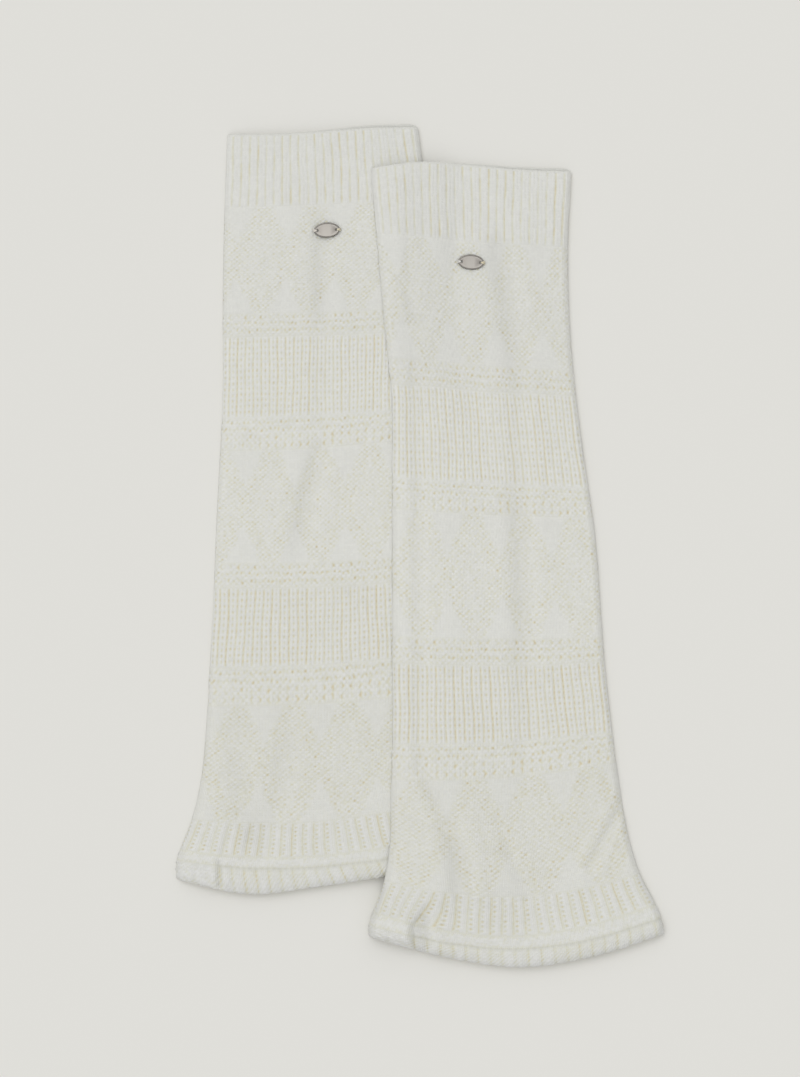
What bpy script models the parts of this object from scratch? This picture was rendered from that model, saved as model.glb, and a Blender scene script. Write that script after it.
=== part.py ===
"""A pair of knitted leg warmers laid flat, the right one lying partly on the left one.

Each leg warmer is a knitted tube: a ribbed cuff, a leg of diamond panels and open ribs, a flared rib hem
and a rolled, scalloped edging, with a small oval metal tag sewn on under the cuff. Laid flat, the tube's
front lies on its back. The world is in metres with +Z up, +X to the right and +Y towards the cuffs, and the
origin is on the surface that the pair lies on, under the middle of the pair. Sizes below are in millimetres.
"""

from collections import namedtuple
from math import cos, pi, radians, sin

import bmesh
import bpy
import numpy as np

MM = 0.001

# Cloth
INNER_GAP = 0.6
EDGE_ROUNDING = 3.2
SEAM_GAP = 0.3
MIN_INNER_GAP = 0.35

# Knit
RIBS = 24
RIB_RELIEF = 1.0
HEM_RIB_RELIEF = 1.2
DIAMONDS = 4
DIAMOND_RELIEF = 0.5
SCALLOP_RELIEF = 1.1
SCALLOP_DROP = 0.8
RIM_DROP = 0.5
EDGING_BULGE = 1.0
EDGING_ROLL = 2.2
EDGING_FLAT = 0.55

# How the upper tube lies on the lower one
LYING_CLEARANCE = 0.4
DRAPE_LEDGE = 1.5
DRAPE_REACH = 10.0
EDGING_RISE_START = 12.0
EDGING_RISE = 8.0

# Metal tags
TAG_LENGTH = 14.5
TAG_WIDTH = 8.5
TAG_THICKNESS = 0.8
TAG_RIM_WIDTH = 0.7
TAG_RIM_DEPTH = 0.25
TAG_HOLE_DIAMETER = 1.2
TAG_HOLE_SPACING = 10.6
TAG_SEGMENTS = 40

# Colours
KNIT_COLOUR = (0.68, 0.67, 0.60, 1)
NICKEL_COLOUR = (0.52, 0.49, 0.45, 1)

# A band of one knit. Its rows are fractions of the band's height. Thick and puff hold at its upper edge:
# the height of the flat tube there, and how far the front rises over that along the middle.
Band = namedtuple("Band", "name knit rows thick puff")
PANEL_ROWS = [k / 6 for k in range(7)]
LOWER_PANEL_ROWS = [k / 8 for k in range(9)]
RIB_ROWS = (0, 0.08, 0.5, 0.92, 1)
BANDS = (
    Band("cuff", "cuff rib", (0, 0.04, 0.5, 0.94, 1), 4.6, 0.8),
    Band("upper panel", "diamonds", PANEL_ROWS, 4.6, 1.8),
    Band("dots under the upper panel", "plain", (0, 1), 4.6, 2.0),
    Band("upper open rib", "rib", RIB_ROWS, 4.6, 1.8),
    Band("dots over the middle panel", "plain", (0, 1), 4.6, 1.6),
    Band("middle panel", "diamonds", PANEL_ROWS, 4.6, 1.8),
    Band("dots under the middle panel", "plain", (0, 1), 4.6, 1.9),
    Band("lower open rib", "rib", RIB_ROWS, 4.6, 1.8),
    Band("dots over the lower panel", "plain", (0, 1), 4.6, 1.8),
    Band("lower panel", "diamonds", LOWER_PANEL_ROWS, 4.6, 2.2),
    Band("hem rib", "hem rib", (0, 0.1, 0.5, 0.9, 1), 5.0, 2.8),
    Band("welt", "plain", (0, 1), 5.4, 2.2),
    Band("edging", "scallops", (0, 0.15, 0.5, 0.8, 1), 6.2, 1.6),
)
END_THICK = 6.4
END_PUFF = 0.8
PIECES = (("cuff", 0, 0), ("leg", 1, 9), ("hem", 10, 11), ("edging", 12, 12))

# A course is one row of stitches at the upper edge of a band, and the last is the tube's end. Down is its
# distance below the top edge along the middle. Left and right are the tube's sides there. The lifts say how
# far the course lies above its own middle at the left side, a quarter and three quarters of the way across,
# and the right side.
Course = namedtuple("Course", "down left right lift_left lift_quarter lift_three lift_right")
LEFT_COURSES = (
    Course(0.0, -108.5, -1.5, -1.5, -1.5, 2.0, 2.5),
    Course(41.5, -110.0, 3.0, -1.5, -1.0, 1.5, 3.0),
    Course(102.0, -111.0, -3.5, -1.0, -0.5, 1.0, 2.5),
    Course(115.0, -111.0, -4.0, -1.0, -0.5, 1.0, 2.5),
    Course(160.0, -111.5, -4.5, -1.5, -1.0, 1.5, 3.5),
    Course(178.5, -112.5, -4.0, -1.5, -1.0, 2.5, 4.5),
    Course(242.5, -115.5, -2.0, -0.5, -0.5, 1.5, 4.0),
    Course(256.5, -116.0, -1.5, -0.5, -0.5, 1.5, 4.0),
    Course(300.5, -118.5, 0.5, -1.5, -1.0, 2.5, 5.0),
    Course(322.0, -119.5, 1.5, -1.5, -1.0, 2.5, 5.0),
    Course(388.5, -128.5, 8.5, 1.0, -0.5, 4.5, 9.0),
    Course(407.5, -135.0, 16.5, 3.0, -0.5, 4.5, 9.5),
    Course(414.0, -137.0, 20.0, 3.5, -0.5, 4.5, 10.0),
    Course(424.5, -137.0, 26.5, 3.5, -4.5, 6.0, 10.0),
)
RIGHT_COURSES = (
    Course(0.0, -27.5, 85.0, -2.0, 1.5, -2.5, -3.5),
    Course(43.5, -24.5, 83.0, 4.5, 2.5, -1.5, -3.0),
    Course(113.0, -18.0, 86.0, 4.0, 2.5, -1.5, -3.0),
    Course(127.5, -16.5, 87.5, 4.0, 2.5, -1.0, -2.5),
    Course(179.5, -15.5, 94.5, 3.5, 1.5, -1.5, -2.5),
    Course(197.0, -15.5, 97.0, 3.5, 1.5, -1.0, -1.5),
    Course(266.5, -15.5, 102.5, 1.5, 0.5, 0.0, 1.0),
    Course(281.5, -15.5, 103.5, 1.5, 0.5, 0.5, 2.5),
    Course(325.0, -15.5, 108.0, -0.5, -0.5, 2.5, 5.5),
    Course(344.5, -16.0, 110.0, -0.5, -1.0, 3.5, 8.5),
    Course(411.0, -20.0, 123.5, 9.0, 2.5, 3.5, 12.0),
    Course(433.5, -26.0, 132.0, 13.5, 3.5, 5.5, 17.5),
    Course(441.0, -28.5, 135.5, 13.5, 4.0, 5.0, 17.0),
    Course(451.0, -28.5, 137.0, 17.0, 6.0, 5.5, 18.5),
)

# The height of each tube's top edge in the layout, and the places across the tube, from 0 to 1, that the
# diamonds of its three panels are centred on.
LEFT_TOP = 233.5
RIGHT_TOP = 214.5
LEFT_DIAMONDS = (0.2, 0.02, 0.15)
RIGHT_DIAMONDS = (0.22, 0.15, 0.12)

# A soft trough in the front, from one place to another, with a low ridge along each side. The ridge is a
# share of the trough's depth high and stands this many widths from its middle.
FOLD_RIDGE = 0.35
FOLD_RIDGE_PLACE = 2
Fold = namedtuple("Fold", "name x0 y0 x1 y1 width depth")
LEFT_FOLDS = (
    Fold("trough under the tag", -57.5, 186, -54, 139, 3.5, 1.4),
    Fold("trough in the middle panel", -54, 54, -62, -2, 5.0, 1.0),
    Fold("crease in the edging", -113, -178, -113, -191, 1.6, 1.6),
    Fold("first pleat of the hem", -108, -163, -111, -174, 2.5, 1.0),
    Fold("second pleat of the hem", -96, -163, -100, -176, 2.5, 1.0),
)
RIGHT_FOLDS = (
    Fold("trough beside the tag", 41, 172, 55.5, 100, 3.2, 1.8),
    Fold("trough in the upper open rib", 55.5, 99, 62, 27, 3.2, 0.8),
    Fold("trough in the middle panel", 61, 20, 58.5, -107, 3.5, 1.4),
    Fold("crease by the left side", -12, 148.5, 0, 125, 2.8, 0.9),
    Fold("trough by the right side", 112, -151, 95.5, -178, 4.0, 1.2),
    Fold("pocket in the hem", -2, -203, 1, -221, 3.0, 2.4),
    Fold("first pleat of the hem", 11, -196, -4, -214, 2.5, 1.3),
    Fold("second pleat of the hem", 20, -198, 7, -218, 2.5, 1.0),
)

# Where the back has points, from right to left: few where it is flat, and more where it comes down off the
# lower tube.
FLAT_BACK = [k / 6 for k in range(5, 0, -1)]
DRAPED_BACK = [5 / 6, 4 / 6, 3 / 6] + [k / 24 for k in range(11, 1, -1)]

# The first column beside each side, in column steps.
FIRST_COLUMN = 0.2

# A tag's centre, and its turn in degrees, anticlockwise.
Tag = namedtuple("Tag", "x y turn")
LEFT_TAG = Tag(-52.5, 177.5, 3)
RIGHT_TAG = Tag(28.5, 159.5, -3)

LIFT_PLACES = np.array((0.0, 0.25, 0.5, 0.75, 1.0))


def smooth(knots, values, at):
    """The smooth curve through the values at the knots, read at these places."""
    slope = np.gradient(values, knots)
    first = np.clip(np.searchsorted(knots, at, "right") - 1, 0, len(knots) - 2)
    step = knots[first + 1] - knots[first]
    t = np.clip((at - knots[first]) / step, 0, 1)
    ends = values[first] * (1 + 2 * t) * (1 - t) ** 2 + values[first + 1] * t**2 * (3 - 2 * t)
    return ends + step * (slope[first] * t * (1 - t) ** 2 - slope[first + 1] * t**2 * (1 - t))


def ease(t):
    """0 up to t = 0 and 1 from t = 1, smooth between."""
    t = np.clip(t, 0, 1)
    return t * t * (3 - 2 * t)


class Tube:
    """One leg warmer laid flat. Across runs from 0 at its left side to 1 at its right side."""

    def __init__(self, name, top_y, courses, folds, diamond_shifts, back_places, lies_on=None):
        self.name = name
        self.across, self.side = ring_columns(back_places)
        self.top_y = top_y
        self.table = np.array(courses)
        self.downs = self.table[:, 0]
        self.thicks = np.array([band.thick for band in BANDS] + [END_THICK])
        self.puffs = np.array([band.puff for band in BANDS] + [END_PUFF])
        self.folds = folds
        self.diamond_shifts = dict(
            zip((band.name for band in BANDS if band.knit == "diamonds"), diamond_shifts)
        )
        self.lies_on = lies_on

    def sides(self, down):
        return smooth(self.downs, self.table[:, 1], down), smooth(self.downs, self.table[:, 2], down)

    def lift(self, across, down):
        lifts = np.insert(self.table[:, 3:], 2, 0, axis=1)
        shares = np.eye(len(LIFT_PLACES))
        return sum(
            smooth(LIFT_PLACES, shares[k], across) * smooth(self.downs, lifts[:, k], down)
            for k in range(len(LIFT_PLACES))
        )

    def place(self, across, down, inset=0.0):
        """World x and y of a point, on the wall's outside or inset from both sides."""
        left, right = self.sides(down)
        x = left + inset + (right - left - 2 * inset) * across
        return x, self.top_y - down + self.lift(across, down)

    def locate(self, x, y):
        """Across and down of the point at world x and y. Beyond the tube they stop at its edge."""
        down = np.clip(self.top_y - y, 0, self.downs[-1])
        across = np.full_like(down, 0.5)
        for _ in range(4):
            left, right = self.sides(down)
            across = np.clip((x - left) / (right - left), 0, 1)
            down = np.clip(self.top_y - y + self.lift(across, down), 0, self.downs[-1])
        return across, down

    def fold_depth(self, x, y):
        """How far the folds lower the front at a place, less than 0 on the ridges beside them."""
        total = 0.0
        for fold in self.folds:
            run_x, run_y = fold.x1 - fold.x0, fold.y1 - fold.y0
            along = ((x - fold.x0) * run_x + (y - fold.y0) * run_y) / (run_x**2 + run_y**2)
            along = np.clip(along, 0, 1)
            away = np.hypot(x - fold.x0 - along * run_x, y - fold.y0 - along * run_y) / fold.width
            ridge = FOLD_RIDGE * np.exp(-((away - FOLD_RIDGE_PLACE) ** 2))
            total = total + fold.depth * (np.exp(-(away**2)) - ridge)
        return total

    def crown(self, across, down, x, y):
        """How far the front rises over a flat tube's front."""
        puff = smooth(self.downs, self.puffs, down) * (1 - (2 * across - 1) ** 4)
        return np.maximum(puff - self.fold_depth(x, y), MIN_INNER_GAP - INNER_GAP)

    def thickness(self, down):
        return smooth(self.downs, self.thicks, down)

    def underside(self, x, y):
        """Height of the tube's underside, flat on the surface or draped over the tube that it lies on."""
        if self.lies_on is None:
            return np.zeros_like(x + y)
        lower = self.lies_on
        across, down = lower.locate(x, y)
        beside_x, beside_y = lower.place(across, down)
        beyond = np.hypot(x - beside_x, y - beside_y)
        top = lower.thickness(down) + lower.crown(across, down, beside_x, beside_y)
        near_edging = ease((down - lower.downs[-2] + EDGING_RISE_START) / EDGING_RISE)
        knit = RIB_RELIEF + near_edging * (SCALLOP_RELIEF + EDGING_BULGE - RIB_RELIEF)
        return (top + knit + LYING_CLEARANCE) * (1 - ease((beyond - DRAPE_LEDGE) / DRAPE_REACH))


def rib_wave(across):
    """1 along the middle of each rib and 0 in the valleys."""
    return 0.5 - 0.5 * np.cos(2 * pi * RIBS * across)


def diamond_wave(across, height, shift):
    """1 along the lattice and in each diamond's heart, and 0 on the plain triangles and rings between."""
    sideways = np.abs((across * DIAMONDS - shift * DIAMONDS + 0.5) % 1 - 0.5) * 2
    distance = sideways + abs(2 * height - 1)
    return np.where(distance < 1.5, 0.5 + 0.5 * np.cos(2 * pi * (distance - 1)), 0)


def relief(tube, band, height, across):
    """How far the knit stands over the plain front. Height runs from 0 at the band's upper edge to 1."""
    inside = 0 < height < 1
    if band.knit == "cuff rib":
        return RIB_RELIEF * rib_wave(across) * (height < 1)
    if band.knit == "rib":
        return RIB_RELIEF * rib_wave(across) * inside
    if band.knit == "hem rib":
        return HEM_RIB_RELIEF * rib_wave(across) * inside
    if band.knit == "diamonds":
        shift = tube.diamond_shifts[band.name]
        return DIAMOND_RELIEF * diamond_wave(across, height, shift) * inside
    if band.knit == "scallops":
        return SCALLOP_RELIEF * rib_wave(across) * inside
    return np.zeros_like(across)


def end_drop(band, height):
    """How far the knit turns in at the tube's two ends, at the cuff's rim and in the roll of the edging."""
    if band.name == "cuff" and height == 0:
        return RIM_DROP
    if band.name == "edging":
        turned = max(0.0, (height - EDGING_FLAT) / (1 - EDGING_FLAT))
        return EDGING_ROLL * (1 - (1 - turned**2) ** 0.5) - EDGING_BULGE * sin(pi * height)
    return 0.0


def ring_columns(back_places):
    """Across and side (1 front, -1 back) of a section's points, from the left side over the front.

    The back is plain, so it has only the places given, an odd number of them, from right to left.
    """
    steps = 2 * RIBS
    edge = FIRST_COLUMN / steps
    front = [0, edge] + [k / steps for k in range(1, steps)] + [1 - edge, 1]
    back = [1 - edge, 1 - 1 / steps, *back_places, 1 / steps, edge]
    return np.array(front + back), np.array([1] * len(front) + [-1] * len(back))


def rounding(across, down, tube, radius):
    """0 at the tube's two sides and 1 away from them, a quarter circle between."""
    left, right = tube.sides(down)
    inwards = np.minimum(across, 1 - across) * (right - left)
    return np.sqrt(1 - (1 - np.clip(inwards / radius, 0, 1)) ** 2)


def outer_section(tube, band, height, down):
    """The points round the outside of the wall at one course."""
    across, side = tube.across, tube.side
    x, y = tube.place(across, down)
    if band.knit == "scallops":
        y = y - SCALLOP_DROP * rib_wave(across) * (height == 1) * (side > 0)
    thick = tube.thickness(down)
    under = tube.underside(x, y)
    drop = end_drop(band, height)
    round_off = rounding(across, down, tube, EDGE_ROUNDING)
    front = thick / 2 + tube.crown(across, down, x, y) + relief(tube, band, height, across) - drop
    back = thick / 2 - max(drop, 0)
    z = under + thick / 2 + round_off * np.where(side > 0, front, -back)
    return np.stack([x, y, z], axis=1)


def inner_section(tube, down):
    """The points round the inside of the wall, every second column of the outside."""
    across, side = tube.across[::2], tube.side[::2]
    thick = tube.thickness(down)
    wall = (thick - INNER_GAP) / 2
    x, y = tube.place(across, down, inset=wall)
    under = tube.underside(x, y)
    open_here = (across > 0) & (across < 1)
    front = (INNER_GAP / 2 + tube.crown(across, down, x, y)) * open_here
    back = INNER_GAP / 2 * open_here
    z = under + thick / 2 + np.where(side > 0, front, -back)
    return np.stack([x, y, z], axis=1)


def add_ring(bm, points):
    return [bm.verts.new(point * MM) for point in points]


def join_rings(bm, first, second):
    """Faces between two rings of as many points."""
    for k in range(len(first)):
        n = (k + 1) % len(first)
        bm.faces.new((first[k], first[n], second[n], second[k]))


def join_rim(bm, outer, inner):
    """Faces between a ring and one that has every second point of it."""
    for k in range(len(inner)):
        n = (k + 1) % len(inner)
        after = outer[(2 * k + 2) % len(outer)]
        bm.faces.new((outer[2 * k], outer[2 * k + 1], after, inner[n], inner[k]))


def make_knit_piece(tube, piece, first_band, last_band, material):
    """A closed wall from the upper edge of one band to the lower edge of another."""
    rows = []
    for number in range(first_band, last_band + 1):
        start, end = tube.downs[number], tube.downs[number + 1]
        skip = number > first_band
        heights = BANDS[number].rows[skip:]
        rows += [(BANDS[number], height, start + height * (end - start)) for height in heights]
    if first_band > 0:
        rows[0] = (*rows[0][:2], rows[0][2] + SEAM_GAP / 2)
    if last_band < len(BANDS) - 1:
        rows[-1] = (*rows[-1][:2], rows[-1][2] - SEAM_GAP / 2)

    bm = bmesh.new()
    outer = [add_ring(bm, outer_section(tube, *row)) for row in rows]
    inner_rows = rows[:-1:2] + rows[-1:]
    inner = [add_ring(bm, inner_section(tube, down)) for _, _, down in inner_rows]
    for rings in (outer, inner):
        for first, second in zip(rings, rings[1:]):
            join_rings(bm, first, second)
    join_rim(bm, outer[0], inner[0])
    join_rim(bm, outer[-1], inner[-1])
    bmesh.ops.triangulate(bm, faces=bm.faces)
    bmesh.ops.recalc_face_normals(bm, faces=bm.faces)
    return add_object(f"{tube.name}_{piece}", bm, material)


def add_object(name, bm, material):
    mesh = bpy.data.meshes.new(name)
    bm.to_mesh(mesh)
    bm.free()
    mesh.materials.append(material)
    mesh.shade_smooth()
    mesh.set_sharp_from_angle(angle=radians(50))
    obj = bpy.data.objects.new(name, mesh)
    bpy.context.scene.collection.objects.link(obj)
    return obj


def oval(bm, shrink, height):
    """A ring of points of the tag's outline, this much smaller all round."""
    half_length, half_width = TAG_LENGTH / 2 - shrink, TAG_WIDTH / 2 - shrink
    angles = [2 * pi * k / TAG_SEGMENTS for k in range(TAG_SEGMENTS)]
    points = [(half_length * cos(a), half_width * sin(a), height) for a in angles]
    return add_ring(bm, np.array(points))


def make_tag(tube, tag, material):
    """An oval plate with a thin raised rim and two sewing holes, lying on the knit just under the cuff."""
    bm = bmesh.new()
    floor = TAG_THICKNESS - TAG_RIM_DEPTH
    rings = [
        oval(bm, 0, 0),
        oval(bm, 0, TAG_THICKNESS),
        oval(bm, TAG_RIM_WIDTH, TAG_THICKNESS),
        oval(bm, TAG_RIM_WIDTH + TAG_RIM_DEPTH, floor),
    ]
    for first, second in zip(rings, rings[1:]):
        join_rings(bm, first, second)
    bm.faces.new(rings[0])
    bm.faces.new(rings[-1])
    bmesh.ops.recalc_face_normals(bm, faces=bm.faces)
    plate = add_object(f"{tube.name}_tag", bm, material)

    turn = radians(tag.turn)
    plate.location = (tag.x * MM, tag.y * MM, tag_seat(tube, tag) * MM)
    plate.rotation_euler.z = turn
    for number, sideways in enumerate((-0.5, 0.5)):
        bm = bmesh.new()
        radius = TAG_HOLE_DIAMETER / 2 * MM
        bmesh.ops.create_cone(
            bm, cap_ends=True, segments=12, radius1=radius, radius2=radius, depth=4 * TAG_THICKNESS * MM
        )
        punch = add_object(f"{tube.name}_tag_punch_{number}", bm, material)
        punch.parent = plate
        punch.location.x = sideways * TAG_HOLE_SPACING * MM
        punch.hide_render = True
        punch.display_type = "WIRE"
        cut = plate.modifiers.new(f"hole_{number}", "BOOLEAN")
        cut.object = punch
        cut.operation = "DIFFERENCE"


def tag_seat(tube, tag):
    """Height at which the tag's flat back clears the knit under it."""
    turn = radians(tag.turn)
    radii, angles = np.meshgrid(np.linspace(0, 1, 7), np.linspace(0, 2 * pi, 24))
    along = radii * TAG_LENGTH / 2 * np.cos(angles)
    aside = radii * TAG_WIDTH / 2 * np.sin(angles)
    x = tag.x + along * cos(turn) - aside * sin(turn)
    y = tag.y + along * sin(turn) + aside * cos(turn)
    across, down = tube.locate(x, y)
    top = tube.underside(x, y) + tube.thickness(down) + tube.crown(across, down, x, y)
    return top.max() + DIAMOND_RELIEF + SEAM_GAP


def make_material(name, colour, roughness, metallic):
    material = bpy.data.materials.new(name)
    material.use_nodes = True
    shader = material.node_tree.nodes["Principled BSDF"]
    shader.inputs["Base Color"].default_value = colour
    shader.inputs["Roughness"].default_value = roughness
    shader.inputs["Metallic"].default_value = metallic
    return material


def main():
    for obj in list(bpy.data.objects):
        bpy.data.objects.remove(obj, do_unlink=True)
    knit = make_material("off-white knit", KNIT_COLOUR, 0.9, 0.0)
    nickel = make_material("nickel-plated tag", NICKEL_COLOUR, 0.35, 1.0)

    left = Tube("left", LEFT_TOP, LEFT_COURSES, LEFT_FOLDS, LEFT_DIAMONDS, FLAT_BACK)
    right = Tube("right", RIGHT_TOP, RIGHT_COURSES, RIGHT_FOLDS, RIGHT_DIAMONDS, DRAPED_BACK, lies_on=left)
    for tube, tag in ((left, LEFT_TAG), (right, RIGHT_TAG)):
        for piece, first_band, last_band in PIECES:
            make_knit_piece(tube, piece, first_band, last_band, knit)
        make_tag(tube, tag, nickel)


main()
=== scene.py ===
"""A pair of off-white knitted leg warmers laid flat, the right one lying partly on the left one.

Each leg warmer is one knitted tube: a ribbed cuff, a leg of diamond panels and open ribs, a flared hem with a
plain welt, and a rolled edging, with a small oval metal tag sewn on under the cuff. The world is in metres,
+Z up, with the cuffs towards +Y. Sizes below are in millimetres. A wale is one stitch across the tube and a
course is one stitch down it.
"""

from collections import namedtuple
from math import cos, pi, radians, sin

import bmesh
import bpy
import numpy as np
from mathutils import Matrix, Vector


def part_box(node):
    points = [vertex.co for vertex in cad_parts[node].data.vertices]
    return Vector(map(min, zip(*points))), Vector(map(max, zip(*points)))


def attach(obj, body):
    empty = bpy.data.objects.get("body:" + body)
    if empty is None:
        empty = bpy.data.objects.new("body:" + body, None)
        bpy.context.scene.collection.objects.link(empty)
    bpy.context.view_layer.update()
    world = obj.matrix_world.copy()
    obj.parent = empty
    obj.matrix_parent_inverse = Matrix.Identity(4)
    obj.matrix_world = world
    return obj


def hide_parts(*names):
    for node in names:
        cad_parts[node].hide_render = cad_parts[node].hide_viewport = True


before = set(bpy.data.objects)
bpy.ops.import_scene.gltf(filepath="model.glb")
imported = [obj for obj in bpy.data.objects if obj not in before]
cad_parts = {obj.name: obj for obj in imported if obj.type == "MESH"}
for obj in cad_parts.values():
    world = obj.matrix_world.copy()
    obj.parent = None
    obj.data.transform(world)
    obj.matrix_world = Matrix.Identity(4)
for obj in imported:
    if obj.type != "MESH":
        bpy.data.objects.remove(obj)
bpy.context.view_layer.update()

# Cuffs
# The ribbed band at the knee end, knitted in a soft cotton and wool yarn: 24 ribs over the front, each of two
# raised wales with one sunk wale between. It is knitted in one with the leg, and its open end is a soft rim.

MM = 0.001
INNER_GAP = 0.6
MIN_INNER_GAP = 0.35
SIDE_ROUNDING = 3.2
RIM_ROUNDING = 1.1
RIM_ROWS = 8
INNER_ROW_SPACING = 12.0
# At the top the back is this much longer than the front, so its rim shows over it. That starts at one place
# across the tube, from 0 to 1, and is whole at another.
BACK_PEEK = 1.6
PEEK_LENGTH = 12.0
PEEK_PLACES = (0.1, 0.9)

RIBS = 24
WALES_PER_RIB = 3
WALES = RIBS * WALES_PER_RIB
COLUMNS_PER_WALE = 3
SIDE_COLUMNS = 8
BACK_COLUMNS = 26

# The upper tube lies this clear of the lower one's highest stitch. Its back drops to the surface within the
# drape reach. Its front spans further, and further still below the tag.
LYING_CLEARANCE = 0.1
DRAPE_LEDGE = 1.5
DRAPE_REACH = 10.0
FRONT_REACH_BY_THE_TAG = 20.0
FRONT_REACH_BELOW = 52.0
FRONT_REACH_GROWS = (75.0, 190.0)
HIGHEST_STITCH = 0.5
HIGHEST_EDGING = 2.1
EDGING_RISE_START = 12.0
EDGING_RISE = 8.0

# A band of one knit, so many courses high. Thick and puff hold at its upper edge: the height of the flat tube
# there, and how far the front rises over that along the middle. Shade is how much more painted shade its gaps
# get, gain how strongly their painted shade follows their depth, and tone how light the band is drawn, lower
# on the hem bands as painted shade among their thicker stitches.
Band = namedtuple("Band", "name knit courses thick puff shade gain tone")
BANDS = (
    Band("cuff", "cuff rib", 26, 4.6, 0.8, 0.0, 0.5, 0.99),
    Band("upper panel", "diamonds", 48, 4.6, 1.8, 0.02, 0.5, 1.0),
    Band("dots under the upper panel", "dots under a panel", 9, 4.6, 2.0, 0.06, 0.5, 1.0),
    Band("upper open rib", "open rib", 28, 4.6, 1.8, 0.04, 0.5, 1.01),
    Band("dots over the middle panel", "dots over a panel", 11, 4.6, 1.6, 0.06, 0.5, 1.01),
    Band("middle panel", "diamonds", 48, 4.6, 1.8, 0.04, 0.5, 1.01),
    Band("dots under the middle panel", "dots under a panel", 9, 4.6, 1.9, 0.08, 0.5, 0.995),
    Band("lower open rib", "open rib", 26, 4.6, 1.8, 0.07, 0.5, 0.99),
    Band("dots over the lower panel", "dots over a panel", 11, 4.6, 1.8, 0.08, 0.5, 0.985),
    Band("lower panel", "diamonds", 48, 4.6, 2.2, 0.07, 0.5, 0.975),
    Band("hem rib", "hem rib", 16, 5.0, 2.8, 0.05, 0.5, 0.962),
    Band("welt", "welt", 5, 5.4, 2.2, 0.04, 0.5, 0.965),
    Band("edging", "scallops", 7, 6.2, 1.6, 0.0, 0.3, 0.945),
)
CUFF_BAND = 0
EDGING_BAND = 12
END_THICK = 6.4
END_PUFF = 0.8

# Where each band starts, as in the solids. Down is the distance below the tube's top edge along the middle,
# left and right are its sides there, and the lifts say how far the course lies above its own middle at the
# left side, a quarter and three quarters of the way across, and the right side.
Course = namedtuple("Course", "down left right lift_left lift_quarter lift_three lift_right")
LEFT_COURSES = [Course(*row) for row in (
    (0.0, -108.5, -1.5, -1.5, -1.5, 2.0, 2.5),
    (41.5, -110.0, 3.0, -1.5, -1.0, 1.5, 3.0),
    (102.0, -111.0, -3.5, -1.0, -0.5, 1.0, 2.5),
    (115.0, -111.0, -4.0, -1.0, -0.5, 1.0, 2.5),
    (160.0, -111.5, -4.5, -1.5, -1.0, 1.5, 3.5),
    (178.5, -112.5, -4.0, -1.5, -1.0, 2.5, 4.5),
    (242.5, -115.5, -2.0, -0.5, -0.5, 1.5, 4.0),
    (256.5, -116.0, -1.5, -0.5, -0.5, 1.5, 4.0),
    (300.5, -118.5, 0.5, -1.5, -1.0, 2.5, 5.0),
    (322.0, -119.5, 1.5, -1.5, -1.0, 2.5, 5.0),
    (388.5, -128.5, 8.5, 1.0, -0.5, 4.5, 9.0),
    (407.5, -135.0, 16.5, 3.0, -0.5, 4.5, 9.5),
    (414.0, -137.0, 20.0, 3.5, -0.5, 4.5, 10.0),
    (424.5, -137.0, 26.5, 3.5, -4.5, 6.0, 10.0),
)]
RIGHT_COURSES = [Course(*row) for row in (
    (0.0, -27.5, 85.0, -2.0, 1.5, -2.5, -3.5),
    (43.5, -24.5, 83.0, 4.5, 2.5, -1.5, -3.0),
    (113.0, -18.0, 86.0, 4.0, 2.5, -1.5, -3.0),
    (127.5, -16.5, 87.5, 4.0, 2.5, -1.0, -2.5),
    (179.5, -15.5, 94.5, 3.5, 1.5, -1.5, -2.5),
    (197.0, -15.5, 97.0, 3.5, 1.5, -1.0, -1.5),
    (266.5, -15.5, 102.5, 1.5, 0.5, 0.0, 1.0),
    (281.5, -15.5, 103.5, 1.5, 0.5, 0.5, 2.5),
    (325.0, -15.5, 108.0, -0.5, -0.5, 2.5, 5.5),
    (344.5, -16.0, 110.0, -0.5, -1.0, 3.5, 8.5),
    (411.0, -20.0, 123.5, 9.0, 2.5, 3.5, 12.0),
    (433.5, -26.0, 132.0, 13.5, 3.5, 5.5, 17.5),
    (441.0, -28.5, 135.5, 13.5, 4.0, 5.0, 17.0),
    (451.0, -28.5, 137.0, 17.0, 6.0, 5.5, 18.5),
)]
LIFT_PLACES = np.array((0.0, 0.25, 0.5, 0.75, 1.0))
LOCATE_ROUNDS = 4

# A soft trough in the front, along the line through its places, with a low ridge along each side. A place is
# its x, y and depth there, and a depth less than 0 makes it a ridge.
Place = namedtuple("Place", "x y depth")
Fold = namedtuple("Fold", "name width places")
LEFT_FOLDS = (
    Fold("trough under the tag", 5.0, (
        (-57, 204, 0), (-57, 178, 0.5), (-56.5, 166, 1.9), (-55.5, 142, 1.8), (-56, 110, 0.7),
        (-57, 70, 0.6),
    )),
    Fold("trough in the middle panel", 5.5, (
        (-56, 66, 0.4), (-59, 46, 2.0), (-67, 12, 2.0), (-70, -6, 0.8), (-72, -16, 0),
    )),
    Fold("trough by the left side of the hem", 9.0, (
        (-107, -68, 0), (-105, -100, 1.0), (-101, -140, 1.5), (-97, -165, 1.8), (-97, -172, 0.6),
    )),
    Fold("trough in the lower panel", 6.5, (
        (-75, -72, 0), (-76, -115, 1.2), (-82, -145, 1.3), (-90, -168, 1.4),
    )),
    Fold("crease in the edging", 1.6, ((-113, -178, 1.6), (-113, -191, 1.6))),
    Fold("first pleat of the hem", 2.2, ((-106, -150, 0), (-108, -163, 0.6), (-111, -174, 0.6))),
    Fold("second pleat of the hem", 2.2, ((-92, -150, 0), (-96, -163, 0.5), (-100, -176, 0.5))),
    Fold("rolled end of the edging", 4.0, ((-135, -183, -0.8), (-115.5, -190.5, -0.8))),
)
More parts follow.
